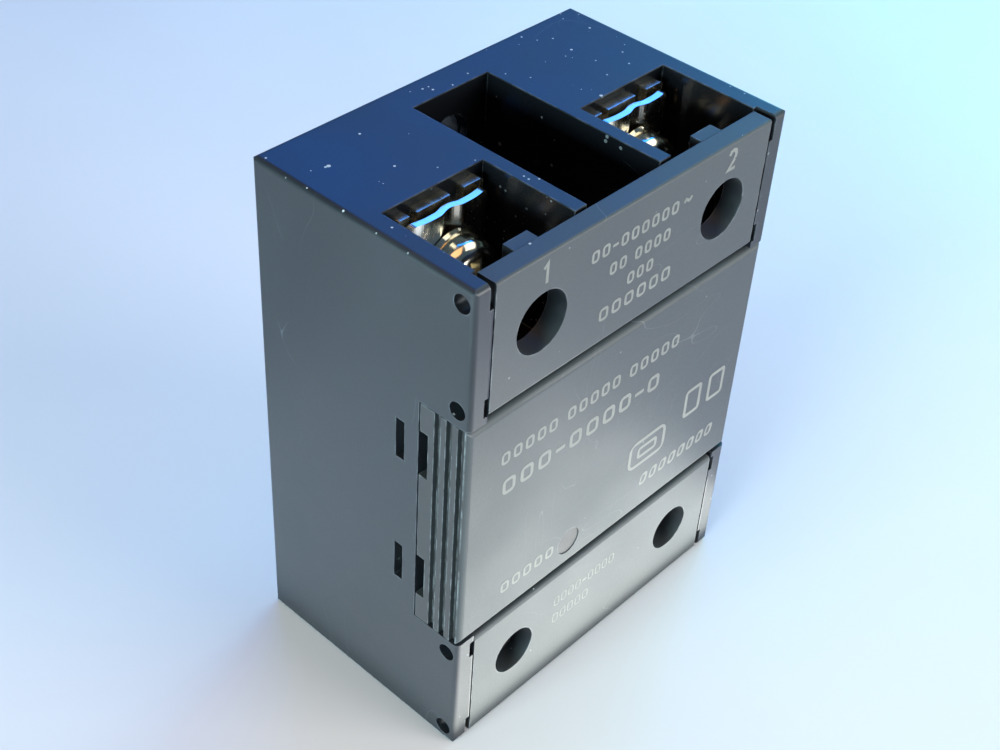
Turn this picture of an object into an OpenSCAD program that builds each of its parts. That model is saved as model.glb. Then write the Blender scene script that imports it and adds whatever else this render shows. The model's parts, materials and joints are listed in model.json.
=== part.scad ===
// Panel-mount solid state relay. It stands on its input end with the output end up (+Z).
// The front, with the covers, faces -Y and the metal base plate faces +Y.
// The origin is the centre of the foot print. Inside a node, y is the depth behind the front face.

/* [Overall] */
// Width across the side walls
body_w = 43; // [42:0.5:48]
// Depth from the front face to the base plate
body_d = 28; // [28:0.5:32]
// Length from the input end to the output end
body_h = 58.5; // [58:0.5:64]
// Rounding of the housing's outer edges
edge_r = 0.6; // [0.3:0.1:0.9]

/* [Housing] */
// Thickness of the side walls
side_wall = 2.3; // [2:0.1:2.5]
// Width of the mounting well at each end
well_w = 10.2; // [9:0.1:11]
// Depth of the mounting well
well_depth = 24.1; // [23.5:0.1:24.3]
// Length of the mounting well from the end face
well_len = 11; // [10.5:0.1:12]
// Thickness of the walls beside the well
partition = 1.5; // [1.2:0.1:1.8]
// Depth of the terminal cells
cell_depth = 13.5; // [13:0.1:14]
// Length of the terminal cells from the end face
cell_len = 15.2; // [15:0.1:15.3]
// Thickness of the inner walls and floors
inner_wall = 1.5; // [1.2:0.1:1.6]

/* [Terminal covers] */
// Thickness of a terminal cover
cover_t = 2.3; // [2:0.1:2.4]
// Gap between a cover and the side walls
cover_gap = 0.2; // [0.1:0.05:0.3]
// Distance of the cover's outer edge from the end face
cover_outer = 0.2; // [0.1:0.1:0.4]
// Distance of the cover's inner edge from the end face
cover_inner = 14.7; // [14.5:0.1:14.8]
// Distance of the hinge pegs from the end face
hinge_from_end = 13.4; // [13.3:0.1:13.5]
// Depth of the hinge pegs behind the front face
hinge_depth = 1.45; // [1.4:0.05:1.5]
// Radius of the hinge pegs
peg_r = 0.9; // [0.85:0.01:0.93]
// Diameter of the driver holes in the output cover
output_access_d = 6.5; // [6:0.1:7]
// Diameter of the driver holes in the input cover
input_access_d = 5.5; // [5:0.1:6]

/* [Front cover] */
// Thickness of the front cover's face
front_t = 2; // [1.8:0.1:2.1]
// Depth to which its sides wrap round
skirt_depth = 5.95; // [5.8:0.05:6]
// Thickness of those sides
skirt_t = 1.2; // [1:0.1:1.3]
// Rounding of its front edges
front_r = 0.9; // [0.6:0.1:1]
// Number of grooves down each side
groove_count = 3; // [1:1:3]
// Width of one groove
groove_w = 0.72; // [0.5:0.01:0.8]
// Diameter of the indicator window
window_d = 3.2; // [3:0.1:3.4]

/* [Terminals] */
// Distance of the terminals from the centre line
terminal_x = 12.8; // [12.7:0.1:12.9]
// Distance of the output screws from the end face
output_screw_e = 7.5; // [7.3:0.1:7.7]
// Distance of the input screws from the end face
input_screw_e = 7.8; // [7.6:0.1:8]
// Radius of the output screw shank, M4
output_shank_r = 1.95; // [1.9:0.01:1.97]
// Radius of the input screw shank, M3.5
input_shank_r = 1.7; // [1.65:0.01:1.72]
// Radius of the output screw head
output_head_r = 3.6; // [3.4:0.1:3.8]
// Radius of the input screw head
input_head_r = 3.1; // [2.9:0.1:3.3]

/* [Mounting] */
// Distance between the two mounting holes
mount_spacing = 47.6; // [47:0.1:48]
// Radius of a mounting hole in the base plate
mount_hole_r = 2.25; // [2.1:0.05:2.4]
// Thickness of the base plate
base_t = 2.85; // [2.5:0.05:3]

/* [Hidden] */
$fn = 48;
over = 1;                                    // how far a cutter runs past the face it opens
fit = 0.05;                                  // gap round a piece that slides or turns in another
mid_h = body_h / 2;
half_w = body_w / 2;
inner_half = half_w - side_wall;             // from the centre line to a side wall's inner face
well_half = well_w / 2;
cell_near = well_half + partition;           // the cell's edge nearer the centre line
cell_floor = cell_depth + inner_wall;
base_front = body_d - base_t;
base_edge = 1.05;                            // plastic left round the base plate
rear_step = 0.15;                            // the base plate stands this proud of the housing
end_wall = 1.8;
relief_depth = cover_t + 1.1;                // inner walls stand back this far beside the hinge
relief_len = 11.5;                           // and from this distance from the end face
seat_gap = 0.15;                             // between the cover's back and the walls behind it
seam = 0.1;                                  // between the front cover and the housing
front_e = cell_len + seam;                   // the front cover's ends, from the end faces
board_front = 10.8;                          // the board's two faces
board_back = 12.4;
pot_gap = 1;                                 // between the board and the potting
pad_front = 23.9;                            // front of the copper pads
pad_t = 0.3;
ceramic_t = 0.95;
chip_front = 23.4;
arm_z = 8;                                   // half-distance between the snap arms' centres
arm_w = 4.5;
slot_near = 7.85;                            // depth of the slots in the housing's sides
slot_far = 8.95;
slot_h = 4.7;
notch_h = 5.4;
notch_near = 4.85;
snap_e = 1.6;                                // snap nubs, from the end face
snap_hole_e = 1.8;                           // and the holes they snap into
lead_in = 0.5;                               // depth of the grooves that guide pegs and nubs
lead_in_h = 2.1;
peg_reach = 1;                               // length of a hinge peg inside the side wall
nub_r = peg_r / 2;
nub_reach = lead_in - 0.1;
cover_r = [0.3, 0.2, 0.3, 0.6];              // cover edges: outer front, outer back, inner back, inner front
rib_w = 3;                                   // rib on a cover's back, between its edge and the driver hole
rib_t = 1.5;
rib_start = 0.3;
rib_end = 0.4;
mount_clear = 0.25;                          // the housing's mounting hole is this much wider
front_back_r = 0.1;                          // rounding of the front cover's rear edges
groove_depth = 0.55;
groove_start = 0.5;
arm_gap = 0.1;                               // between a snap arm and the side wall
arm_t = 1.2;
arm_tip = 0.6;                               // arm beyond its hook
window_gap = 0.03;
window_sunk = 0.1;                           // the light pipe's face lies this far below the cover's
flange_w = 0.5;                              // step on the light pipe, behind the cover
flange_t = 0.7;
pipe_end = 5.6;
plate_r = 0.5;                               // corners of the base plate
clamp_crest = 11.12;                         // depth of a clamp's highest line
head_back = 10.55;                           // depth of the underside of a screw head
washer_back = 11.05;
window_x = -5.6;
window_z = 18.8;
merge = 0.1;                                 // overlap of two bodies of one piece
pin_r = 0.4;
pin_gap = 0.1;                               // round a pin in the board
pin_out = 1;                                 // pins stand this far out of the board

// Power parts: spans in x and z, and thicknesses
ceramic_half = 17;
board_half = 17.4;
board_z = [16.9, 41.6];
pad_x = [0.9, 16.4];
pad_z = [17.6, 40.9];
chip_x = 8.5;
chip_half = 4;
chip_z = [mid_h - 5, mid_h + 3];
gate_x = 11;
gate_z = mid_h - 3.5;
gate_foot = 0.8;
gate_foot_t = 0.3;
strap_w = 3;
strap_t = 0.5;
strap_z = mid_h - 1;
strap_spread = 2.2;
strap_crest = 21.8;
strap_x = [-9.5, -5.5, 2.1, 4];              // chip end, rise, fall, pad end

// Parts on the board. Round ones that lie down are [radius, length, x, z]
stand_off = 0.2;
axial_lead_r = 0.3;
axial_lead_out = 1.2;
snubber_resistor_at = [1.6, 9, 6.5, 38.6];
gate_resistor_at = [0.9, 4, 12.6, 30.5];
input_resistor_at = [1.2, 6.3, 11.6, 21.5];
input_diode_at = [1.2, 4.4, -12.2, 22.6];
coupler_at = [1, 0, 30];
coupler_half = [4.4, 3.2];
coupler_y = [board_front - 4, board_front - 0.5];
coupler_pin = [0.3, 2.4, 0.6];               // half width, height over the board, half length
lead_pitch = 2.54;
capacitor_x = [-15.5, -2.5];
capacitor_z = [35.2, 40.2];
capacitor_t = 7.5;
varistor_at = [11.4, 33.5];
varistor_r = 3.4;
varistor_t = 3;
varistor_gap = 0.6;
varistor_leads = [0.3, 2, 1.8];              // radius, height over the board, half spread
transistor_at = [2.6, 0, 20.6];
transistor_r = 2.35;
transistor_flat = 1.3;
transistor_y = [board_front - 5.6, board_front - 1.2];
thin_lead_r = 0.25;
led_r = 1.5;
led_dome = 7.2;                              // depth at which the dome starts
led_gap = 0.6;
led_spread = 0.9;

// Dimensions of the two kinds of terminal, as [output, input] where they differ
OUTPUT = 0;
INPUT = 1;
screw_e = [output_screw_e, input_screw_e];
shank_r = [output_shank_r, input_shank_r];
head_r = [output_head_r, input_head_r];
head_t = [2.55, 2.1];
crown_share = 0.55;                          // crown and cross recess, as shares of the head
crown_sweep = 70;
recess_arm = 0.62;
recess_half = 0.17;
recess_depth = 0.6;
washer_r = [3.95, 3.4];
screw_tip = [18.6, 17.6];
thread_gap = 0.07;
thread_hole_r = [output_shank_r + thread_gap, input_shank_r + thread_gap];
plate_w = [10.6, 9];
plate_front = [12.5, 12.7];
plate_outer = [6.5, 6.2];                    // plate edge beyond the screw, towards the end face
plate_inner = 6.4;                           // and towards the middle
neck_w = [6, 5];
collar_r = [3.1, 2.7];
collar_gap = 0.35;                           // round the collar in its seat
collar_back = 15.2;
clamp_w = [9.9, 8.4];
clamp_t = 0.7;
clamp_outer = [6.1, 5.6];
clamp_inner = 5.2;
clamp_channel = 1.6;                         // half-width of the channel under the screw
clamp_shoulder = 2.4;                        // where the ends begin to bend back
clamp_dip = 0.38;                            // depth of the channel
clamp_bend = 0.5;
clamp_hole = 0.2;                            // gap round the shank
clamp_r = 1;
clamp_steps = 40;
plate_corner = 0.4;
plate_notches = [[-3.95, -3], [1.05, 2.8]];  // cuts in a plate's outer edge, in x
notch_depth = 1.2;
strip_foot = 3.5;                            // length of the strip's foot on the pad
strip_bend = mid_h - output_screw_e - arm_z - strip_foot;
strip_t = 1;
input_tail = 11.2;                           // end of the input strip, from the screw
pocket_r = [2.3, 2];
boss_r = [4.3, 3.9];
boss_back = [20.4, 19.4];

// Places a node's depth axis so that y = 0 is the front face
module from_front() translate([0, -body_d / 2, 0]) children();
// Height measured from the output end face, growing inwards
module from_output_end() translate([0, 0, body_h]) mirror([0, 0, 1]) children();
module both_ends() {
    children();
    from_output_end() children();
}
module both_sides() {
    children();
    mirror([1, 0, 0]) children();
}
module both_halves() {
    for (s = [-1, 1]) translate([0, 0, mid_h + s * arm_z]) children();
}
module block(x, y, z) translate([x[0], y[0], z[0]]) cube([x[1] - x[0], y[1] - y[0], z[1] - z[0]]);
// Round bar along the depth
module rod_y(r, y, at = [0, 0])
    translate([at[0], y[1], at[1]]) rotate([90, 0, 0]) cylinder(r = r, h = y[1] - y[0]);
// Round bar along x, placed by its depth and height
module rod_x(r, x, at)
    translate([x[0], at[0], at[1]]) rotate([0, 90, 0]) cylinder(r = r, h = x[1] - x[0]);
// Outline in x and z, given thickness along the depth
module plate_y(y) translate([0, y[1], 0]) rotate([90, 0, 0]) linear_extrude(y[1] - y[0]) children();
// Outline in depth and z, extruded along x
module bar_x(x) translate([x[0], 0, 0]) rotate([90, 0, 90]) linear_extrude(x[1] - x[0]) children();
// Points along an arc round c, from angle a0 to a1
function arc(c, r, a0, a1, steps = 8) =
    [for (i = [0:steps]) c + r * [cos(a0 + (a1 - a0) * i / steps), sin(a0 + (a1 - a0) * i / steps)]];
// Rectangle whose four corners have the radii r, starting at the low corner and going round
function rounded(low, high, r) = concat(
    arc([low[0] + r[0], low[1] + r[0]], r[0], 180, 270),
    arc([high[0] - r[1], low[1] + r[1]], r[1], 270, 360),
    arc([high[0] - r[2], high[1] - r[2]], r[2], 0, 90),
    arc([low[0] + r[3], high[1] - r[3]], r[3], 90, 180));
function same(r) = [r, r, r, r];

// ---- Housing ----
module housing_block() intersection() {
    linear_extrude(body_h) polygon(rounded([-half_w, 0], [half_w, body_d - rear_step], same(edge_r)));
    bar_x([-half_w, half_w]) polygon(rounded([0, 0], [body_d - rear_step, body_h], same(edge_r)));
    plate_y([0, body_d]) polygon(rounded([-half_w, 0], [half_w, body_h], same(edge_r)));
}
module cell_space() both_sides()
    block([cell_near, inner_half], [-over, cell_depth], [-over, cell_len]);
module well_space() block([-well_half, well_half], [-over, well_depth], [-over, well_len]);
module cover_seat() {
    block([-inner_half, inner_half], [-over, cover_t + seat_gap], [-over, cell_len]);
    block([-inner_half, inner_half], [-over, relief_depth], [relief_len, cell_len]);
}
module peg_holes() both_sides() {
    rod_x(peg_r + fit, [inner_half - over, half_w + over], [hinge_depth, hinge_from_end]);
    rod_x(peg_r + fit, [inner_half - over, half_w + over], [hinge_depth, snap_hole_e]);
    block([inner_half - over, inner_half + lead_in], [-over, hinge_depth],
        [hinge_from_end - lead_in_h / 2, hinge_from_end + lead_in_h / 2]);
    block([inner_half - over, inner_half + lead_in], [-over, hinge_depth + peg_r],
        [-over, snap_e + lead_in_h / 2]);
}
// Seat of the terminal's collar, and the pocket for the screw's tip
module screw_pockets(kind) both_sides() {
    rod_y(collar_r[kind] + collar_gap, [0, collar_back + fit], [terminal_x, screw_e[kind]]);
    rod_y(pocket_r[kind], [0, boss_back[kind] - inner_wall], [terminal_x, screw_e[kind]]);
}
module screw_bosses(kind) both_sides()
    rod_y(boss_r[kind], [cell_floor - over, boss_back[kind]], [terminal_x, screw_e[kind]]);
// Slots through which the terminal strips leave the cells
module neck_slots(kind) both_sides()
    block([terminal_x - neck_w[kind] / 2 - fit, terminal_x + neck_w[kind] / 2 + fit],
        [plate_front[kind] - fit, cell_depth + fit], [cell_len - over, cell_len + inner_wall + over]);
module front_cavity() block([-inner_half, inner_half], [-over, cell_floor + over],
    [cell_len + inner_wall, body_h - cell_len - inner_wall]);
module rear_cavity(front) {
    both_sides() block([cell_near, inner_half], [front, base_front], [end_wall, body_h - end_wall]);
    block([-cell_near - over, cell_near + over], [front, base_front],
        [well_len + inner_wall, body_h - well_len - inner_wall]);
}
// The cavity behind the cells, with the screw bosses left standing in it
module rear_space() difference() {
    rear_cavity(cell_floor);
    screw_bosses(INPUT);
    from_output_end() screw_bosses(OUTPUT);
}
module front_cover_seat() {
    block([-half_w - over, half_w + over], [-over, front_t + seam], [cell_len, body_h - cell_len]);
    both_sides() block([half_w - skirt_t - seam, half_w + over], [-over, skirt_depth + seam],
        [cell_len, body_h - cell_len]);
}
module housing() color("#1b1d21") from_front() difference() {
    housing_block();
    both_ends() {
        cell_space();
        well_space();
        cover_seat();
        peg_holes();
        rod_y(mount_hole_r + mount_clear, [well_depth - over, base_front + over],
            [0, (body_h - mount_spacing) / 2]);
    }
    front_cover_seat();
    front_cavity();
    rear_space();
    both_halves() both_sides() {
        block([inner_half - over, half_w + over], [slot_near, slot_far], [-slot_h / 2, slot_h / 2]);
        block([inner_half - over, half_w], [notch_near, skirt_depth + seam], [-notch_h / 2, notch_h / 2]);
    }
    block([-half_w + base_edge, half_w - base_edge], [base_front, body_d + over],
        [base_edge, body_h - base_edge]);
    neck_slots(INPUT);
    screw_pockets(INPUT);
    from_output_end() {
        neck_slots(OUTPUT);
        screw_pockets(OUTPUT);
    }
}

// ---- Covers ----
// Terminal cover, drawn from its end face inwards
module terminal_cover(kind, access_d) {
    half = inner_half - cover_gap;
    difference() {
        union() {
            bar_x([-half, half]) polygon(rounded([0, cover_outer], [cover_t, cover_inner], cover_r));
            both_sides() {
                rod_x(peg_r, [half - over, inner_half + peg_reach], [hinge_depth, hinge_from_end]);
                rod_x(nub_r, [half - over, inner_half + nub_reach], [hinge_depth, snap_e]);
                block([terminal_x - rib_w / 2, terminal_x + rib_w / 2], [cover_t - over, cover_t + rib_t],
                    [cover_outer + rib_start, screw_e[kind] - access_d / 2 - rib_end]);
            }
        }
        both_sides() rod_y(access_d / 2, [-over, cover_t + over], [terminal_x, screw_e[kind]]);
    }
}
module output_cover() color("#24262a") from_front() from_output_end()
    terminal_cover(OUTPUT, output_access_d);
module input_cover() color("#24262a") from_front() terminal_cover(INPUT, input_access_d);

module front_cover_shell() difference() {
    intersection() {
        linear_extrude(body_h) polygon(rounded([-half_w, 0], [half_w, skirt_depth],
            [front_r, front_r, front_back_r, front_back_r]));
        bar_x([-half_w, half_w]) polygon(rounded([0, front_e], [skirt_depth, body_h - front_e],
            [front_r, front_back_r, front_back_r, front_r]));
    }
    block([skirt_t - half_w, half_w - skirt_t], [front_t, body_d], [0, body_h]);
}
// Arm along the inside of the side wall, with a hook that enters the wall's slot
module snap_arm() {
    arm = inner_half - arm_gap;
    block([arm - arm_t, arm], [front_t - over, slot_far + arm_tip], [-arm_w / 2, arm_w / 2]);
    block([arm - over, arm + arm_t], [slot_near + seam, slot_far - seam], [-arm_w / 2, arm_w / 2]);
}
module front_cover() color("#26282c") from_front() {
    difference() {
        front_cover_shell();
        both_sides() for (i = [0:groove_count - 1])
            translate([0, groove_start + i * 2 * groove_w, 0])
                block([half_w - groove_depth, half_w + over], [0, groove_w], [0, body_h]);
        both_halves() both_sides() block([inner_half - over, half_w + over],
            [notch_near, skirt_depth + over], [-notch_h / 2, notch_h / 2]);
        rod_y(window_d / 2, [-over, front_t + over], [window_x, window_z]);
    }
    both_halves() both_sides() snap_arm();
}
module light_pipe() color("#2c2624") from_front() {
    flange = front_t + seam;
    rod_y(window_d / 2 - window_gap, [window_sunk, flange], [window_x, window_z]);
    rod_y(window_d / 2 + flange_w, [flange, flange + flange_t], [window_x, window_z]);
    rod_y(window_d / 2 - flange_w, [flange + flange_t, pipe_end], [window_x, window_z]);
}

// ---- Base plate ----
module base_plate() color("#b9bcc0") from_front() difference() {
    gap = base_edge + fit;
    plate_y([base_front, body_d])
        polygon(rounded([-half_w + gap, gap], [half_w - gap, body_h - gap], same(plate_r)));
    both_ends() rod_y(mount_hole_r, [base_front - over, body_d + over],
        [0, (body_h - mount_spacing) / 2]);
}

// ---- Terminals, drawn round the screw axis: z grows away from the end face ----
module at_terminal(kind, side) translate([side * terminal_x, 0, screw_e[kind]]) children();
module terminal_plate(kind) {
    y = [plate_front[kind], cell_depth];
    w = plate_w[kind] / 2;
    difference() {
        union() {
            plate_y(y) polygon(rounded([-w, -plate_outer[kind]], [w, plate_inner], same(plate_corner)));
            rod_y(collar_r[kind], [cell_depth - fit, collar_back]);
        }
        rod_y(thread_hole_r[kind], [0, body_d]);
        for (x = plate_notches)
            block(x, [0, body_d], [-plate_outer[kind] - over, notch_depth - plate_outer[kind]]);
    }
}
// Strip from the cell to the copper pads: down behind the board, back, and a foot on the pad
module output_strip() {
    half = neck_w[OUTPUT] / 2;
    plate = [plate_front[OUTPUT], cell_depth];
    foot = [pad_front - strip_t, pad_front];
    bar_x([-half, half]) polygon([
        [plate[0], plate_inner - over], [plate[1], plate_inner - over],
        [plate[1], strip_bend - strip_t], [foot[1], strip_bend - strip_t],
        [foot[1], strip_bend + strip_foot], [foot[0], strip_bend + strip_foot],
        [foot[0], strip_bend], [plate[0], strip_bend]]);
}
module output_terminal(side)
    color("#cfc8b0") from_front() from_output_end() at_terminal(OUTPUT, side) {
        terminal_plate(OUTPUT);
        output_strip();
    }
// The input strip ends behind the board in a pin that is soldered through it
module input_terminal(side) color("#cfc8b0") from_front() at_terminal(INPUT, side) {
    terminal_plate(INPUT);
    block([-neck_w[INPUT] / 2, neck_w[INPUT] / 2], [plate_front[INPUT], cell_depth],
        [plate_inner - over, input_tail]);
    rod_y(pin_r, [board_front - pin_out, plate_front[INPUT] + fit], [0, input_tail - over]);
}
// Pressed clamp: a shallow channel at the screw, a crest each side, and ends that bend back
function clamp_face(x, half) =
    let (a = abs(x))
    a < clamp_channel ? clamp_crest + clamp_dip * (1 + cos(180 * a / clamp_channel)) / 2
    : a > clamp_shoulder ? clamp_crest + clamp_bend * pow((a - clamp_shoulder) / (half - clamp_shoulder), 2)
    : clamp_crest;
module clamp(kind, side) {
    half = clamp_w[kind] / 2;
    xs = [for (i = [0:clamp_steps]) -half + 2 * half * i / clamp_steps];
    front = [for (x = xs) [x, clamp_face(x, half)]];
    back = [for (i = [clamp_steps:-1:0]) [xs[i], clamp_face(xs[i], half) + clamp_t]];
    color("#d8d2bd") from_front() at_terminal(kind, side) difference() {
        intersection() {
            translate([0, 0, -clamp_outer[kind]]) linear_extrude(clamp_outer[kind] + clamp_inner)
                polygon(concat(front, back));
            plate_y([0, body_d])
                polygon(rounded([-half, -clamp_outer[kind]], [half, clamp_inner], same(clamp_r)));
        }
        rod_y(shank_r[kind] + clamp_hole, [0, body_d]);
    }
}
module washer(kind, side) color("#c9c2aa") from_front() at_terminal(kind, side) difference() {
    rod_y(washer_r[kind], [head_back, washer_back]);
    rod_y(shank_r[kind] + fit, [0, body_d]);
}
// Pan-head screw with a cross recess
module screw(kind, side) color("#cdc6ae") from_front() at_terminal(kind, side) difference() {
    r = head_r[kind];
    t = head_t[kind];
    crown = t * crown_share;
    arm = r * recess_arm;
    slot_w = r * recess_half;
    recess = t * recess_depth;
    translate([0, head_back, 0]) rotate([90, 0, 0]) union() {
        rotate_extrude() polygon(concat([[0, 0], [r, 0], [r, t - crown]],
            arc([r - crown, t - crown], crown, 0, crown_sweep), [[0, t]]));
        translate([0, 0, head_back - screw_tip[kind]])
            cylinder(r = shank_r[kind], h = screw_tip[kind] - head_back);
    }
    block([-arm, arm], [0, head_back - t + recess], [-slot_w, slot_w]);
    block([-slot_w, slot_w], [0, head_back - t + recess], [-arm, arm]);
}
module output_clamp(side) from_end_of(OUTPUT) clamp(OUTPUT, side);
module output_washer(side) from_end_of(OUTPUT) washer(OUTPUT, side);
module output_screw(side) from_end_of(OUTPUT) screw(OUTPUT, side);
module from_end_of(kind) {
    if (kind == OUTPUT) from_output_end() children();
    else children();
}

// ---- Power parts on the base plate ----
module ceramic_substrate() color("#e9e6df") from_front()
    block([-ceramic_half, ceramic_half], [base_front - ceramic_t, base_front], board_z);
module substrate_copper() color("#c77b4a") from_front() both_sides()
    block(pad_x, [pad_front, pad_front + pad_t], pad_z);
module thyristor(side) color("#5b6068") from_front()
    block([side * chip_x - chip_half, side * chip_x + chip_half], [chip_front, pad_front], chip_z);
// Strap from one chip over to the other side's pad, as an outline in x and depth
module cathode_strap(side) color("#b86f42") from_front() mirror([side > 0 ? 1 : 0, 0, 0])
    translate([0, 0, strap_z + side * strap_spread - strap_w / 2]) linear_extrude(strap_w) polygon([
        [strap_x[0], chip_front], [strap_x[0], chip_front - strap_t],
        [strap_x[1] - strap_t, chip_front - strap_t], [strap_x[1] - strap_t, strap_crest],
        [strap_x[2] + strap_t, strap_crest], [strap_x[2] + strap_t, pad_front - strap_t],
        [strap_x[3], pad_front - strap_t], [strap_x[3], pad_front], [strap_x[2], pad_front],
        [strap_x[2], strap_crest + strap_t], [strap_x[1], strap_crest + strap_t],
        [strap_x[1], chip_front]]);
module gate_lead(side) color("#c9c2aa") from_front() translate([side * gate_x, 0, gate_z]) {
    block([-gate_foot, gate_foot], [chip_front - gate_foot_t, chip_front], [-gate_foot, gate_foot]);
    rod_y(pin_r, [board_front - pin_out, chip_front - gate_foot_t + merge]);
}

// ---- Board and its parts; every part stands on the board's front face ----
module circuit_board() color("#2f6b46") from_front() difference() {
    block([-board_half, board_half], [board_front, board_back], board_z);
    both_sides() {
        rod_y(pin_r + pin_gap, [0, body_d], [terminal_x, input_screw_e + input_tail - over]);
        rod_y(pin_r + pin_gap, [0, body_d], [gate_x, gate_z]);
    }
}
// Cylinder lying along x on the board, on two bent leads
module axial_part(part, side = 1) {
    r = part[0];
    half = part[1] / 2;
    axis = board_front - r - stand_off;
    reach = half + axial_lead_out;
    translate([side * part[2], 0, part[3]]) {
        rod_x(r, [-half, half], [axis, 0]);
        rod_x(axial_lead_r, [-reach, reach], [axis, 0]);
        both_sides() rod_y(axial_lead_r, [axis, board_front], [reach, 0]);
    }
}
module optocoupler() color("#17181a") from_front() translate(coupler_at) {
    block([-coupler_half[0], coupler_half[0]], coupler_y, [-coupler_half[1], coupler_half[1]]);
    for (x = [-lead_pitch, 0, lead_pitch], z = [-1, 1])
        translate([x, board_front, z * (coupler_half[1] + coupler_pin[2] - merge)])
            block([-coupler_pin[0], coupler_pin[0]], [-coupler_pin[1], 0], [-coupler_pin[2], coupler_pin[2]]);
}
module snubber_capacitor() color("#b3402f") from_front()
    block(capacitor_x, [board_front - capacitor_t, board_front], capacitor_z);
module snubber_resistor() color("#7d8f6a") from_front() axial_part(snubber_resistor_at);
module varistor() color("#2a4f9c") from_front() translate([varistor_at[0], board_front, varistor_at[1]]) {
    translate([0, -varistor_r - varistor_gap, 0]) cylinder(r = varistor_r, h = varistor_t);
    both_sides() rod_y(varistor_leads[0], [-varistor_leads[1], 0], [varistor_leads[2], varistor_t / 2]);
}
module gate_resistor(side) color("#c2a878") from_front() axial_part(gate_resistor_at, side);
module input_resistor() color("#c2a878") from_front() axial_part(input_resistor_at);
module input_diode() color("#3a3a3c") from_front() axial_part(input_diode_at);
module input_transistor() color("#1c1c1e") from_front() translate(transistor_at) {
    plate_y(transistor_y) intersection() {
        circle(r = transistor_r);
        translate([-transistor_r, -transistor_flat]) square(2 * transistor_r);
    }
    for (x = [-lead_pitch / 2, 0, lead_pitch / 2])
        rod_y(thin_lead_r, [transistor_y[1] - merge, board_front], [x, 0]);
}
module indicator_led() color("#b02a20") from_front() translate([window_x, 0, window_z]) {
    rod_y(led_r, [led_dome, board_front - led_gap]);
    translate([0, led_dome, 0]) sphere(r = led_r);
    both_sides() rod_y(thin_lead_r, [board_front - pin_out, board_front], [led_spread, 0]);
}

// ---- Potting: fills the housing behind the board and under the cells ----
module potting() color("#3d3f42") from_front() difference() {
    union() {
        rear_space();
        block([-inner_half, inner_half], [board_back + pot_gap, cell_floor + over],
            [cell_len + inner_wall, body_h - cell_len - inner_wall]);
    }
    translate([0, body_d / 2, 0]) {
        ceramic_substrate();
        substrate_copper();
        for (side = [-1, 1]) {
            thyristor(side);
            cathode_strap(side);
            gate_lead(side);
            output_terminal(side);
            input_terminal(side);
        }
    }
}

housing();
front_cover();
output_cover();
input_cover();
light_pipe();
base_plate();
output_terminal(-1);  // output_terminal_1
output_terminal(1);  // output_terminal_2
output_clamp(-1);  // output_clamp_1
output_clamp(1);  // output_clamp_2
output_washer(-1);  // output_washer_1
output_washer(1);  // output_washer_2
output_screw(-1);  // output_screw_1
output_screw(1);  // output_screw_2
input_terminal(-1);  // input_terminal_1
input_terminal(1);  // input_terminal_2
clamp(INPUT, -1);  // input_clamp_1
clamp(INPUT, 1);  // input_clamp_2
washer(INPUT, -1);  // input_washer_1
washer(INPUT, 1);  // input_washer_2
screw(INPUT, -1);  // input_screw_1
screw(INPUT, 1);  // input_screw_2
ceramic_substrate();
substrate_copper();
thyristor(-1);  // thyristor_1
thyristor(1);  // thyristor_2
cathode_strap(-1);  // cathode_strap_1
cathode_strap(1);  // cathode_strap_2
gate_lead(-1);  // gate_lead_1
gate_lead(1);  // gate_lead_2
circuit_board();
optocoupler();
snubber_capacitor();
snubber_resistor();
varistor();
gate_resistor(-1);  // gate_resistor_1
gate_resistor(1);  // gate_resistor_2
input_resistor();
input_transistor();
input_diode();
indicator_led();
potting();
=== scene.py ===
import json
import math

import bmesh
import bpy
from mathutils import Matrix, Vector


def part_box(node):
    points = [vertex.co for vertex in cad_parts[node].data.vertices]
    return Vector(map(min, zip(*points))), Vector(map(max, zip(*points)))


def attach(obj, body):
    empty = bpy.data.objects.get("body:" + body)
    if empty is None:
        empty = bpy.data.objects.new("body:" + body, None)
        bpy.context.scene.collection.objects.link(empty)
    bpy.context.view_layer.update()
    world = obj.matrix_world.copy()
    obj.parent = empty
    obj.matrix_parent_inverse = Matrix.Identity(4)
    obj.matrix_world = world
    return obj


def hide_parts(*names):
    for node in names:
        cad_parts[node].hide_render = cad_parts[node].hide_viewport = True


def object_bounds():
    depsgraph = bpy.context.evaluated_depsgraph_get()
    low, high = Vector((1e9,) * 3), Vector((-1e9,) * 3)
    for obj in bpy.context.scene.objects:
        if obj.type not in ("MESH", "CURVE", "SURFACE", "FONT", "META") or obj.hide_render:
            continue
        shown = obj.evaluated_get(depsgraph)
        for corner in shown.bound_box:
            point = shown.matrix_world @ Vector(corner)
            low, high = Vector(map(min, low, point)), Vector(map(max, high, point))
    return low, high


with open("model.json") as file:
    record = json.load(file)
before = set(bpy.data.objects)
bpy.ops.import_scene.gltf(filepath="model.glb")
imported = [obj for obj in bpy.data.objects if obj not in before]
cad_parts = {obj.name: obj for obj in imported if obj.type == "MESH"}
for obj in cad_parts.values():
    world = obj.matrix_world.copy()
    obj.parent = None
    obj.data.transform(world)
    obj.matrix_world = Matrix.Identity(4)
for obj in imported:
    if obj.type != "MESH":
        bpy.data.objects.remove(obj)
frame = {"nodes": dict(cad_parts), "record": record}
cad_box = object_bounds()
MM = 0.001
MID_Z = (cad_box[0].z + cad_box[1].z) / 2
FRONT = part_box("housing")[0].y
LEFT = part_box("housing")[0].x
node_body = {n: b for b, names in frame["record"]["behaviour"]["bodies"].items() for n in names}
node_slot = {p["node"]: p["material_slot"] for p in frame["record"]["subparts"]}


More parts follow.
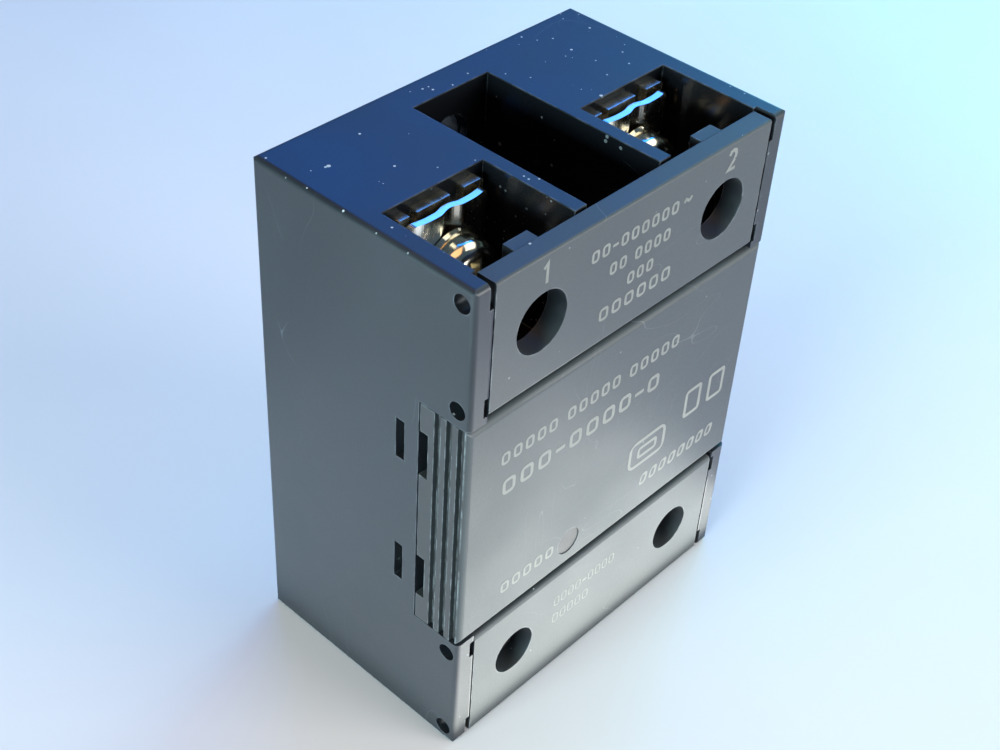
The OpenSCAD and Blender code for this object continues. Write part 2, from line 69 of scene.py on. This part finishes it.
# ---------------------------------------------------------------- camera, floor and light
EYE = Vector((-97.75, -83.15, 136.69)) * MM
AIM = Vector((-0.855, 0.750, 29.065)) * MM
ROLL = math.radians(3.83)
LENS, SENSOR = 57.98, 36
NEAR, FAR = 0.01, 10


def make_camera():
    data = bpy.data.cameras.new("camera")
    data.lens, data.sensor_width = LENS, SENSOR
    data.clip_start, data.clip_end = NEAR, FAR
    cam = bpy.data.objects.new("camera", data)
    bpy.context.scene.collection.objects.link(cam)
    turn = (AIM - EYE).to_track_quat("-Z", "Y").to_matrix().to_4x4()
    cam.matrix_world = Matrix.Translation(EYE) @ turn @ Matrix.Rotation(ROLL, 4, "Z")
    bpy.context.scene.camera = cam


# Panels of soft light: place, the point it faces, width and height in mm, watts in red, green and blue
LIGHTS = {
    "card_narrow": ((3, -27, 0.6), (3, -27, 10), (52, 24), (0.0195, 0.0205, 0.019)),
    "card_wide": ((22, -46, 0.5), (22, -46, 10), (100, 60), (0.002, 0.002, 0.006)),
    "front_high": ((170, -440, 130), (0, -14, 20), (300, 160), (2.72, 2.84, 2.86)),
    "back_blue": ((330, 290, 420), (0, 0, 45), (420, 340), (0.0, 0.37, 1.68)),
    "left": ((-420, -40, 90), (-21, 0, 20), (260, 140), (2.7, 4.1, 4.4)),
    "card_left": ((-42, 12, 0.5), (-42, 12, 10), (38, 64), (0.004, 0.0048, 0.0055)),
    "top": ((-120, 60, 700), (0, 0, 0), (500, 500), (1.25, 0.7, 0.3)),
    "right": ((420, 40, 160), (0, 0, 20), (300, 200), (0.2, 1.3, 1.8)),
    "screw_glint": ((206, -48, 351), (0, -6, 52), (280, 220), (0.34, 0.34, 0.31)),
    "metal_glow": ((260, 238, 322), (0, -3, 52), (170, 170), (0.018, 0.012, 0.0)),
}
WORLD = (0.05, 0.09, 0.14)


def make_lights():
    for name, (place, aim, size, watts) in LIGHTS.items():
        data = bpy.data.lights.new(name, "AREA")
        data.shape, data.size, data.size_y = "RECTANGLE", size[0] * MM, size[1] * MM
        data.energy = max(watts)
        data.color = [w / data.energy for w in watts]
        obj = bpy.data.objects.new(name, data)
        bpy.context.scene.collection.objects.link(obj)
        obj.visible_camera = False
        obj.location = Vector(place) * MM
        obj.rotation_mode = "QUATERNION"
        obj.rotation_quaternion = (Vector(aim) - Vector(place)).to_track_quat("-Z", "Y")
    world = bpy.data.worlds.new("studio")
    bpy.context.scene.world = world
    world.use_nodes = True
    background = world.node_tree.nodes["Background"]
    background.inputs[0].default_value = (*WORLD, 1)
    bpy.context.scene.view_settings.view_transform = "Standard"


# ---------------------------------------------------------------- material helpers
class Tree:
    """A Principled material under construction; sockets link, plain values are set on the socket."""

    def __init__(self, name, **constants):
        self.mat = bpy.data.materials.new(name)
        self.mat.use_nodes = True
        self.nodes, self.links = self.mat.node_tree.nodes, self.mat.node_tree.links
        self.nodes.clear()
        self.bsdf = self.node("BsdfPrincipled", constants)
        self.node("OutputMaterial", {"Surface": self.bsdf.outputs[0]})
        self.place = self.node("TexCoord").outputs["Object"]

    def node(self, kind, inputs=None, **settings):
        made = self.nodes.new("ShaderNode" + kind)
        for key, value in settings.items():
            setattr(made, key, value)
        for key, value in (inputs or {}).items():
            self.plug(made.inputs[key], value)
        return made

    def plug(self, socket, value):
        if isinstance(value, bpy.types.NodeSocket):
            self.links.new(value, socket)
        elif isinstance(value, (tuple, list)) and len(value) == 3 and socket.type == "RGBA":
            socket.default_value = (*value, 1)
        else:
            socket.default_value = value

    def math(self, operation, a, b, clamp=False):
        return self.node("Math", {0: a, 1: b}, operation=operation, use_clamp=clamp).outputs[0]

    def mix(self, share, a, b):
        return self.node("Mix", {0: share, 6: a, 7: b}, data_type="RGBA").outputs[2]

    def span(self, value, low, high, out_low=0.0, out_high=1.0):
        made = self.node("MapRange", {0: value, 1: low, 2: high, 3: out_low, 4: out_high})
        return made.outputs[0]

    def noise(self, scale, detail, stretch=(1, 1, 1), turn=(0, 0, 0)):
        spot = self.node("Mapping", {"Vector": self.place, "Scale": stretch, "Rotation": turn}).outputs[0]
        made = self.node("TexNoise", {"Vector": spot, "Scale": scale, "Detail": detail, "Roughness": 0.5})
        return made.outputs[0]

    def finish(self, **linked):
        for key, value in linked.items():
            self.plug(self.bsdf.inputs[key.replace("_", " ")], value)
        return self.mat

    def bump(self, height, distance, strength):
        inputs = {"Height": height, "Distance": distance, "Strength": strength}
        return self.node("Bump", inputs).outputs[0]

    def upward(self):
        """1 on faces that look up, 0 on the others."""
        facing = self.node("SeparateXYZ", {0: self.node("NewGeometry").outputs["Normal"]}).outputs[2]
        return self.span(facing, 0.6, 0.9)

    def sideways(self):
        """1 on faces that look to the left or right, 0 on the others."""
        facing = self.node("SeparateXYZ", {0: self.node("NewGeometry").outputs["Normal"]}).outputs[0]
        return self.span(self.math("ABSOLUTE", facing, 0), 0.6, 0.9)

    def inside_bore(self, x, z, radius):
        """1 within the radius of an axis that runs along the depth."""
        spot = self.node("SeparateXYZ", {0: self.place})
        across = self.math("POWER", self.math("SUBTRACT", spot.outputs[0], x), 2)
        along = self.math("POWER", self.math("SUBTRACT", spot.outputs[2], z), 2)
        return self.math("LESS_THAN", self.math("ADD", across, along), radius ** 2)

    def in_cavity(self, half_x, half_z):
        """1 in the middle of the housing, nearer than the given halves to its centre line and mid height."""
        spot = self.node("SeparateXYZ", {0: self.place})
        x = self.math("LESS_THAN", self.math("ABSOLUTE", spot.outputs[0], 0), half_x)
        height = self.math("ABSOLUTE", self.math("SUBTRACT", spot.outputs[2], MID_Z), 0)
        return self.math("MULTIPLY", x, self.math("LESS_THAN", height, half_z))

    def specks(self, scale, share, size):
        """Scattered round dots: share of the cells that hold one, size as a part of a cell."""
        cell = self.node("TexVoronoi", {"Vector": self.place, "Scale": scale})
        red, green = self.node("SeparateColor", {0: cell.outputs["Color"]}).outputs[:2]
        chosen = self.math("LESS_THAN", red, share)
        reach = self.math("MULTIPLY", green, size)
        return self.math("MULTIPLY", self.math("LESS_THAN", cell.outputs["Distance"], reach), chosen)

    def hairs(self, scale, width, stretch, turn, cover):
        """Thin broken lines: level lines of a stretched noise, kept where another noise is above cover."""
        line = self.math("ABSOLUTE", self.math("SUBTRACT", self.noise(scale, 1.0, stretch, turn), 0.5), 0)
        patch = self.span(self.noise(scale * 0.7, 1.0, (1, 1, 1), turn), cover, cover + 0.03)
        return self.math("MULTIPLY", self.math("LESS_THAN", line, width), patch)

    def edge(self, radius):
        """1 on sharp outer edges, from the shader's own bevel."""
        round_normal = self.node("Bevel", {"Radius": radius}, samples=6).outputs[0]
        flat = self.node("NewGeometry").outputs["Normal"]
        alike = self.node("VectorMath", {0: round_normal, 1: flat}, operation="DOT_PRODUCT").outputs["Value"]
        return self.span(alike, 0.99, 0.88)


def darker(colour, share):
    return tuple(c * share for c in colour)


EDGE_WEAR = 0.5
DUST_COLOUR = (0.62, 0.66, 0.68)


def plastic(name, base, rough, shaded_flank=None, dust=1.0, shaded_cavity=None):
    """Moulded black plastic: spark-eroded grain, blotchy gloss, dust, lint, scratches and rubbed edges.

    flank is a painted shade: the colour of faces that look sideways. cavity is the half width and half
    height of the housing's inside, whose walls are painted darker as shade and made glossier.
    """
    t = Tree(name, IOR=1.5)
    cloud = t.noise(90, 4.0)
    fine = t.noise(5200, 2.0)
    rubbed = t.math("MULTIPLY", t.edge(0.25 * MM), t.span(t.noise(700, 3.0), 0.42, 0.62))
    rubbed = t.math("MULTIPLY", rubbed, EDGE_WEAR)
    bright = tuple(c * 5 + 0.09 for c in base)
    colour = t.mix(t.span(cloud, 0.3, 0.7, 0, 0.35), base, darker(base, 1.5))
    # painted shade: faces that look sideways get the darker flank colour
    if shaded_flank:
        colour = t.mix(t.sideways(), colour, shaded_flank)
    # painted shade: the housing's inside walls are darkened where shade falls
    if shaded_cavity:
        inside = t.in_cavity(*shaded_cavity)
        colour = t.mix(inside, colour, darker(base, 0.45))
    colour = t.mix(rubbed, colour, bright)
    up = t.span(t.upward(), 0, 1, 0.25, 1)
    dots = t.math("ADD", t.specks(620, 0.07 * dust, 0.16), t.specks(1500, 0.05 * dust, 0.2), clamp=True)
    dots = t.math("MULTIPLY", dots, up)
    lines = t.math("ADD", t.hairs(55, 0.0009, (1, 1, 3.5), (0.4, 0.9, 0.3), 0.56),
                   t.hairs(140, 0.0012, (2, 1, 0.5), (1.1, 0.2, 0.8), 0.6), clamp=True)
    marks = t.math("MAXIMUM", t.math("MULTIPLY", dots, 0.85), t.math("MULTIPLY", lines, 0.07))
    colour = t.mix(marks, colour, DUST_COLOUR)
    gloss = t.span(cloud, 0.25, 0.75, rough - 0.05, rough + 0.07)
    gloss = t.math("ADD", gloss, t.span(fine, 0.3, 0.7, -0.03, 0.03))
    if shaded_cavity:
        gloss = t.math("SUBTRACT", gloss, t.math("MULTIPLY", inside, 0.26), clamp=True)
    gloss = t.math("ADD", gloss, t.math("MULTIPLY", marks, 0.4), clamp=True)
    height = t.math("ADD", fine, t.math("MULTIPLY", dots, 1.5))
    normal = t.bump(height, 0.012 * MM, 0.35)
    return t.finish(Base_Color=colour, Roughness=gloss, Normal=normal)


def plated(name, base, rough, tarnish, shaded_bores=()):
    """Plated metal: rolled streaks, small pits, tarnish in patches, and painted shade that darkens each bore
    at the given x, z, r.
    """
    t = Tree(name, Metallic=1.0)
    streak = t.noise(900, 3.0, (1, 1, 0.08))
    cloud = t.noise(260, 3.0)
    pits = t.specks(2600, 0.2, 0.25)
    colour = t.mix(t.span(cloud, 0.4, 0.7), base, tarnish)
    colour = t.mix(t.math("MULTIPLY", pits, 0.5), colour, darker(tarnish, 0.4))
    # painted shade: each bore wall near black, where shade falls in the bore
    for bore in shaded_bores:
        colour = t.mix(t.inside_bore(*bore), colour, darker(base, 0.06))
    gloss = t.span(streak, 0.3, 0.7, rough - 0.05, rough + 0.08)
    gloss = t.math("ADD", gloss, t.math("MULTIPLY", pits, 0.2))
    normal = t.bump(t.math("ADD", streak, t.math("MULTIPLY", cloud, 1.5)), 0.01 * MM, 0.5)
    return t.finish(Base_Color=colour, Roughness=gloss, Normal=normal)


def lacquered(name, base, second, rough, **constants):
    """Coated, cast or ceramic stuff: two close tones in clouds, fine surface ripple and few specks."""
    t = Tree(name, **constants)
    cloud = t.noise(500, 4.0)
    fine = t.noise(4500, 2.0)
    colour = t.mix(t.span(cloud, 0.35, 0.65), base, second)
    colour = t.mix(t.specks(1100, 0.06, 0.2), colour, darker(base, 0.6))
    gloss = t.span(cloud, 0.3, 0.7, rough - 0.06, rough + 0.08)
    normal = t.bump(t.math("ADD", fine, cloud), 0.01 * MM, 0.6)
    return t.finish(Base_Color=colour, Roughness=gloss, Normal=normal)


def floor_material():
    t = Tree("floor_paper")
    cloud = t.noise(9, 5.0)
    colour = t.mix(t.span(cloud, 0.3, 0.7), (0.68, 0.60, 0.60), (0.73, 0.65, 0.65))
    normal = t.bump(t.noise(900, 3.0), 0.02 * MM, 0.3)
    return t.finish(Base_Color=colour, Roughness=t.span(cloud, 0.3, 0.7, 0.5, 0.62), Normal=normal)


MOUNT_SPACING = 47.6 * MM
MOUNT_R = 2.32 * MM                  # just wider than the bore, so that its wall is inside
# the mount bores' walls get painted shade in the base plate
SHADED_MOUNT_BORES = [(0, MID_Z + side * MOUNT_SPACING / 2, MOUNT_R) for side in (-1, 1)]
# the housing's inside, whose walls get painted shade
SHADED_CAVITY = (19.35 * MM, 29.1 * MM)
HOUSING_BLACK = (0.011, 0.0125, 0.016)
COVER_BLACK = (0.038, 0.041, 0.043)
# painted shade for the cover's sideways faces
COVER_FLANK_SHADE = (0.01, 0.011, 0.014)
FRONT_BLACK = (0.034, 0.038, 0.04)
# painted shade for the front cover's sideways faces
FRONT_FLANK_SHADE = (0.023, 0.02, 0.021)
MATERIALS = {
    "housing_plastic": plastic("housing_plastic", HOUSING_BLACK, 0.42, dust=3.2, shaded_cavity=SHADED_CAVITY),
    "front_cover_plastic": plastic("front_cover_plastic", FRONT_BLACK, 0.5, FRONT_FLANK_SHADE, 0.3),
    "cover_plastic": plastic("cover_plastic", COVER_BLACK, 0.5, COVER_FLANK_SHADE, 0.5),
    "window_plastic": lacquered("window_plastic", (0.03, 0.026, 0.027), (0.036, 0.031, 0.032), 0.5),
    "base_aluminium": plated("base_aluminium", (0.72, 0.73, 0.75), 0.32, (0.6, 0.61, 0.63), SHADED_MOUNT_BORES),
    "terminal_plating": plated("terminal_plating", (0.86, 0.82, 0.72), 0.2, (0.78, 0.66, 0.45)),
    "clamp_plating": plated("clamp_plating", (0.9, 0.88, 0.8), 0.16, (0.82, 0.72, 0.52)),
    "screw_plating": plated("screw_plating", (0.9, 0.87, 0.78), 0.13, (0.8, 0.68, 0.46)),
    "ceramic": lacquered("ceramic", (0.82, 0.81, 0.77), (0.88, 0.87, 0.83), 0.45),
    "copper": plated("copper", (0.8, 0.42, 0.26), 0.3, (0.6, 0.28, 0.16)),
    "silicon": lacquered("silicon", (0.12, 0.13, 0.16), (0.18, 0.19, 0.23), 0.15),
    "board_laminate": lacquered("board_laminate", (0.02, 0.13, 0.05), (0.03, 0.18, 0.07), 0.35),
    "component_black": lacquered("component_black", (0.012, 0.012, 0.013), (0.02, 0.02, 0.022), 0.45),
    "capacitor_red": lacquered("capacitor_red", (0.35, 0.04, 0.025), (0.42, 0.06, 0.035), 0.25),
    "resistor_green": lacquered("resistor_green", (0.15, 0.24, 0.12), (0.2, 0.29, 0.15), 0.45),
    "varistor_blue": lacquered("varistor_blue", (0.02, 0.06, 0.28), (0.03, 0.09, 0.34), 0.3),
    "resistor_tan": lacquered("resistor_tan", (0.48, 0.34, 0.18), (0.55, 0.4, 0.22), 0.35),
    "led_red": lacquered("led_red", (0.5, 0.03, 0.02), (0.6, 0.05, 0.03), 0.12,
                         **{"Transmission Weight": 0.5}),
    "potting_resin": lacquered("potting_resin", (0.025, 0.026, 0.028), (0.04, 0.042, 0.045), 0.4),
    "print_ink": lacquered("print_ink", (0.15, 0.148, 0.13), (0.18, 0.177, 0.16), 0.55),
}


# ---------------------------------------------------------------- geometry helpers
def paint(obj, slot):
    obj.data.materials.clear()
    obj.data.materials.append(MATERIALS[slot])


FLAT_ANGLE = math.radians(0.4)       # faces that bend less than this are one flat face
SHARP_ANGLE = math.radians(28)       # and edges that bend more are rounded


def even_normals(obj):
    obj.modifiers.new("normals", "WEIGHTED_NORMAL").keep_sharp = True


def soften(obj, width, segments):
    """Rounds the edges of a CAD mesh by width mm: joins flat triangles, bevels, evens the normals."""
    join = obj.modifiers.new("join", "DECIMATE")
    join.decimate_type, join.angle_limit = "DISSOLVE", FLAT_ANGLE
    bevel = obj.modifiers.new("bevel", "BEVEL")
    bevel.width, bevel.segments = width * MM, segments
    bevel.limit_method, bevel.angle_limit = "ANGLE", SHARP_ANGLE
    bevel.use_clamp_overlap, bevel.harden_normals = True, True
    for poly in obj.data.polygons:
        poly.use_smooth = True
    even_normals(obj)


def add_object(name, mesh, slot, body):
    obj = bpy.data.objects.new(name, mesh)
    bpy.context.scene.collection.objects.link(obj)
    paint(obj, slot)
    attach(obj, body)
    return obj


def mesh_from(bm, name, smooth=True):
    mesh = bpy.data.meshes.new(name)
    bmesh.ops.recalc_face_normals(bm, faces=bm.faces)
    bm.to_mesh(mesh)
    bm.free()
    for poly in mesh.polygons:
        poly.use_smooth = smooth
    return mesh


def bake(obj):
    """Replaces an object's mesh by what its modifiers make of it."""
    shape = obj.evaluated_get(bpy.context.evaluated_depsgraph_get())
    mesh = bpy.data.meshes.new_from_object(shape)
    obj.modifiers.clear()
    obj.data = mesh


# ---------------------------------------------------------------- print on the covers
INK = 0.012 * MM      # thickness of the print; the covers' faces are sunk by this much
COVER_EDGE = 0.1      # mm, how far the covers' edges are rounded
CORNER_STEPS = 4


def inked_cover(node):
    """A copy of a cover whose front face lies one print thickness deeper, so that the print is flush."""
    mesh = frame["nodes"][node].data.copy()
    for vert in mesh.vertices:
        vert.co.y = max(vert.co.y, FRONT + INK)
    obj = add_object(node + "_shell", mesh, node_slot[node], node_body[node])
    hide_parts(node)
    soften(obj, COVER_EDGE, 3)


def flat_piece(bm, outline):
    """One filled outline of (x, z) in mm on the front plane, extruded to the print's depth."""
    near = [bm.verts.new((LEFT + x * MM, FRONT, z * MM)) for x, z in outline]
    far = [bm.verts.new((LEFT + x * MM, FRONT + INK, z * MM)) for x, z in outline]
    bm.faces.new(near)
    bm.faces.new(far[::-1])
    for i in range(len(near)):
        j = (i + 1) % len(near)
        bm.faces.new((near[i], far[i], far[j], near[j]))


def bridge(bm, one, two):
    """A band of faces between two closed loops."""
    for i in range(len(one)):
        j = (i + 1) % len(one)
        bm.faces.new((one[i], one[j], two[j], two[i]))


def corner_points(x0, x1, z0, z1, r, lean=0.0):
    """Rounded rectangle, leaning to the right by the given share of its height."""
    points = []
    centres = ((x1 - r, z1 - r), (x0 + r, z1 - r), (x0 + r, z0 + r), (x1 - r, z0 + r))
    for quarter, (cx, cz) in enumerate(centres):
        for i in range(CORNER_STEPS + 1):
            a = math.radians(90 * quarter + 90 * i / CORNER_STEPS)
            points.append((cx + r * math.cos(a), cz + r * math.sin(a)))
    return [(x + lean * (z - z0), z) for x, z in points]


def open_frame(bm, xs, zs, width, r, lean=0.0):
    """Outline of a rounded rectangle."""
    outer = corner_points(*xs, *zs, r + width / 2, lean)
    inner = corner_points(xs[0] + width, xs[1] - width, zs[0] + width, zs[1] - width, r / 2, lean)
    loops = [[bm.verts.new((LEFT + x * MM, FRONT + depth, z * MM)) for x, z in points]
             for points, depth in ((outer, 0), (inner, 0), (inner, INK), (outer, INK))]
    for one, two in zip(loops, loops[1:] + loops[:1]):
        bridge(bm, one, two)


def stroke(bm, path, width):
    """A pen line through the points, as one ribbon with mitred corners and square ends."""
    sides = []
    for i, point in enumerate(path):
        spot = Vector(point)
        ahead = (Vector(path[min(i + 1, len(path) - 1)]) - spot).normalized()
        behind = (spot - Vector(path[max(i - 1, 0)])).normalized()
        way = (ahead + behind).normalized()
        square = Vector((-way.y, way.x))
        leg = ahead if i == 0 else behind
        reach = width / 2 / max(0.5, square.dot(Vector((-leg.y, leg.x))))
        sides.append((spot + square * reach, spot - square * reach))
    rows = [[bm.verts.new((LEFT + p.x * MM, FRONT + depth, p.y * MM))
             for p, depth in ((a, 0), (b, 0), (b, INK), (a, INK))] for a, b in sides]
    for one, two in zip(rows, rows[1:]):
        bridge(bm, one, two)
    bm.faces.new(rows[0])
    bm.faces.new(rows[-1][::-1])


MARK_WIDTHS = {"#": 1.0, "-": 0.8, " ": 0.6}


def filler_line(bm, x0, x1, z, height, pattern, lean=0.0, pen=0.15):
    """Stands in for a line of words: # is an empty frame, - a dash, a blank a gap.

    pen is the width of a frame's lines as a share of the height.
    """
    unit = (x1 - x0) / sum(MARK_WIDTHS[mark] for mark in pattern)
    x = x0
    for mark in pattern:
        wide = MARK_WIDTHS[mark] * unit
        if mark == "#":
            xs = (x + 0.14 * unit, x + wide - 0.14 * unit)
            zs = (z - height * 0.36, z + height * 0.36)
            open_frame(bm, xs, zs, pen * height, 0.14 * height, lean)
        elif mark == "-":
            xs = (x + 0.12 * unit, x + wide - 0.12 * unit)
            zs = (z - 0.08 * height, z + 0.08 * height)
            flat_piece(bm, corner_points(*xs, *zs, 0.05 * height))
        x += wide


FIGURES = {
    "1": [(0.15, 0.78), (0.5, 1.0), (0.5, 0.0)],
    "2": [(0.05, 0.78), (0.2, 0.95), (0.45, 1.0), (0.75, 0.92), (0.85, 0.7), (0.7, 0.45), (0.05, 0.0),
          (0.9, 0.0)],
    "~": [(0.0, 0.4), (0.2, 0.58), (0.42, 0.5), (0.62, 0.4), (0.82, 0.46), (1.0, 0.62)],
}
FIGURE_WIDTH = 0.62       # the width and the pen are shares of the figure's height
FIGURE_PEN = 0.182
FIGURE_CENTRE = (0.45, 0.5)


def figure(bm, mark, x, z, height):
    """One sign of FIGURES, drawn with its centre at x, z."""
    mid_x, mid_z = FIGURE_CENTRE
    path = [(x + (px - mid_x) * height * FIGURE_WIDTH, z + (pz - mid_z) * height)
            for px, pz in FIGURES[mark]]
    stroke(bm, path, FIGURE_PEN * height)


def print_piece(name, body, bm):
    add_object(name, mesh_from(bm, name, smooth=False), "print_ink", body)


def make_print():
    """All places are mm: x from the housing's left edge, z in the part's own frame."""
    bm = bmesh.new()
    figure(bm, "1", 8.8, 56.2, 2.1)
    figure(bm, "2", 34.7, 56.4, 2.1)
    filler_line(bm, 14.6, 27.2, 54.7, 1.9, "##-######")
    figure(bm, "~", 28.3, 54.8, 1.7)
    filler_line(bm, 17.4, 26.4, 52.1, 1.9, "## ####")
    filler_line(bm, 20.2, 24.3, 49.7, 1.9, "###")
    filler_line(bm, 16.5, 27.3, 47.3, 2.1, "######")
    print_piece("output_cover_print", "output_cover", bm)

    bm = bmesh.new()
    filler_line(bm, 4.4, 30.7, 37.2, 2.1, "##### ##### #####")
    filler_line(bm, 4.7, 28.3, 33.4, 2.8, "###-####-#")
    filler_line(bm, 5.6, 13.8, 19.2, 2.0, "#####")
    open_frame(bm, (24.6, 30.6), (22.4, 26.2), 0.45, 0.9)
    open_frame(bm, (26.0, 29.2), (23.5, 25.1), 0.4, 0.3)
    open_frame(bm, (33.4, 36.2), (24.6, 28.4), 0.45, 0.3)
    open_frame(bm, (37.4, 40.2), (24.6, 28.4), 0.45, 0.3)
    filler_line(bm, 26.8, 39.6, 19.8, 2.2, "########", lean=0.2)
    print_piece("front_cover_print", "body", bm)

    bm = bmesh.new()
    filler_line(bm, 14.5, 24.5, 10.4, 1.8, "####-####", pen=0.07)
    filler_line(bm, 14.5, 20.5, 7.8, 1.8, "#####", pen=0.07)
    print_piece("input_cover_print", "input_cover", bm)


# ---------------------------------------------------------------- terminal screws
PITCH = {"output": 0.7, "input": 0.6}
HEAD = {"output": (3.6, 2.55, 1.95), "input": (3.1, 2.1, 1.7)}     # radius, height, shank radius
AROUND = 32                  # points round a screw
CROWN = 0.55                 # share of the head's height that is rounded over
CROWN_SWEEP = 70             # degrees of the rounding
HEAD_CHAMFER = 0.12 * MM
THREAD_DEPTH = 0.18 * MM
THREAD_RUN = 0.9 * MM        # the thread deepens, and the tip narrows, over this length
TIP_REST = 0.25 * MM         # what is left of that narrowing at the very end
TIP_SHARE = 0.78
ROWS_PER_TURN = 8
RECESS_ARM, RECESS_HALF, RECESS_DEPTH = 0.62, 0.17, 0.6      # shares of the head's radius and height
RECESS_LEAD = 0.3 * MM       # how far the cutting tool starts in front of the head
RECESS_TAPER = (1.06, 0.72)  # its size in front of the head and at the bottom
SCREW_EDGE = 0.05 * MM
SCREW_SHARP = math.radians(50)


def head_profile(head_r, head_t, shank_r):
    """(radius, depth) from the crown, over its rounded rim, to where the shank begins under the head."""
    crown = CROWN * head_t
    sweep = [math.radians(CROWN_SWEEP * (1 - k / 8)) for k in range(9)]
    rim = [(head_r - crown + crown * math.cos(a), crown * (1 - math.sin(a))) for a in sweep]
    top = [(rim[0][0] * k / 4, rim[0][1] * (k / 4) ** 2) for k in (1, 2, 3)]
    under = [(head_r, head_t - HEAD_CHAMFER), (head_r - HEAD_CHAMFER, head_t), (shank_r, head_t)]
    return top + rim + under


def thread_loops(front, tip, head_t, shank_r, pitch):
    """(radius, y) of the points round the shank, row by row; the thread winds down to a narrower tip."""
    length = tip - front
    steps = int((length - head_t) / (pitch / ROWS_PER_TURN))
    loops = []
    for k in range(1, steps + 1):
        y = front + head_t + (length - head_t) * k / steps
        begun = min(1.0, (y - front - head_t) / THREAD_RUN)
        taper = min(1.0, (tip - y + TIP_REST) / THREAD_RUN)
        loop = []
        for i in range(AROUND):
            phase = ((y - front) / pitch - i / AROUND) % 1
            ridge = THREAD_DEPTH * min(1, 3 * abs(2 * phase - 1))
            r = shank_r - THREAD_DEPTH * begun + ridge * begun
            loop.append((r * (TIP_SHARE + (1 - TIP_SHARE) * taper), y))
        loops.append(loop)
    return loops


def recess_tool(cx, cz, front, head_r, head_t):
    """What the cross recess is cut with: two crossed bars that narrow toward the bottom."""
    bm = bmesh.new()
    arm, half, deep = head_r * RECESS_ARM, head_r * RECESS_HALF, head_t * RECESS_DEPTH
    levels = list(zip((front - RECESS_LEAD, front + deep), RECESS_TAPER))
    for a, b in ((arm, half), (half, arm)):
        near, far = [[bm.verts.new((cx + sx * a * share, y, cz + sz * b * share))
                      for sx, sz in ((-1, -1), (1, -1), (1, 1), (-1, 1))] for y, share in levels]
        bm.faces.new(near)
        bm.faces.new(far[::-1])
        for i in range(4):
            j = (i + 1) % 4
            bm.faces.new((near[i], far[i], far[j], near[j]))
    tool = bpy.data.objects.new("recess", mesh_from(bm, "recess", smooth=False))
    bpy.context.scene.collection.objects.link(tool)
    return tool


def screw_piece(end, index):
    """Pan-head screw: crowned head, tapered cross recess and a cut thread that runs to a narrowed tip."""
    node = f"{end}_screw_{index}"
    low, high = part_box(node)
    head_r, head_t, shank_r = (v * MM for v in HEAD[end])
    cx, cz, front, tip = (low.x + high.x) / 2, (low.z + high.z) / 2, low.y, high.y
    loops = [[(r, front + depth)] * AROUND for r, depth in head_profile(head_r, head_t, shank_r)]
    loops += thread_loops(front, tip, head_t, shank_r, PITCH[end] * MM)
    angles = [2 * math.pi * i / AROUND for i in range(AROUND)]
    bm = bmesh.new()
    rings = [[bm.verts.new((cx + r * math.cos(a), y, cz + r * math.sin(a)))
              for a, (r, y) in zip(angles, loop)] for loop in loops]
    for one, two in zip(rings, rings[1:]):
        bridge(bm, one, two)
    bm.faces.new(rings[0])
    bm.faces.new(rings[-1][::-1])
    obj = add_object(node + "_turned", mesh_from(bm, node + "_turned"), "screw_plating", node_body[node])
    tool = recess_tool(cx, cz, front, head_r, head_t)
    cut = obj.modifiers.new("recess", "BOOLEAN")
    cut.object, cut.operation, cut.solver, cut.use_self = tool, "DIFFERENCE", "EXACT", True
    bake(obj)
    bpy.data.objects.remove(tool)
    bevel = obj.modifiers.new("bevel", "BEVEL")
    bevel.width, bevel.segments = SCREW_EDGE, 2
    bevel.limit_method, bevel.angle_limit = "ANGLE", SCREW_SHARP
    even_normals(obj)
    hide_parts(node)


# ---------------------------------------------------------------- the whole picture
COVERS = ("front_cover", "output_cover", "input_cover")
SMALL_EDGE = 0.06                                      # mm of rounding on the CAD pieces
LARGE_EDGES = {"housing": 0.12, "base_plate": 0.15}


def dress_cad():
    """Paints every CAD piece and rounds its edges; covers are swapped for copies with room for print."""
    for name, node in frame["nodes"].items():
        paint(node, node_slot[name])
    for name, node in frame["nodes"].items():
        if name in COVERS:
            inked_cover(name)
        elif name in LARGE_EDGES:
            soften(node, LARGE_EDGES[name], 3)
        elif "screw" not in name and name != "potting":
            soften(node, SMALL_EDGE, 2)


FLOOR_HALF = 1.2


def make_floor():
    bm = bmesh.new()
    bmesh.ops.create_grid(bm, x_segments=24, y_segments=24, size=FLOOR_HALF)
    mesh = bpy.data.meshes.new("floor")
    bm.to_mesh(mesh)
    bm.free()
    obj = bpy.data.objects.new("floor", mesh)
    bpy.context.scene.collection.objects.link(obj)
    mesh.materials.append(floor_material())


dress_cad()
make_print()
for end in ("output", "input"):
    for index in (1, 2):
        screw_piece(end, index)
make_camera()
make_floor()
make_lights()
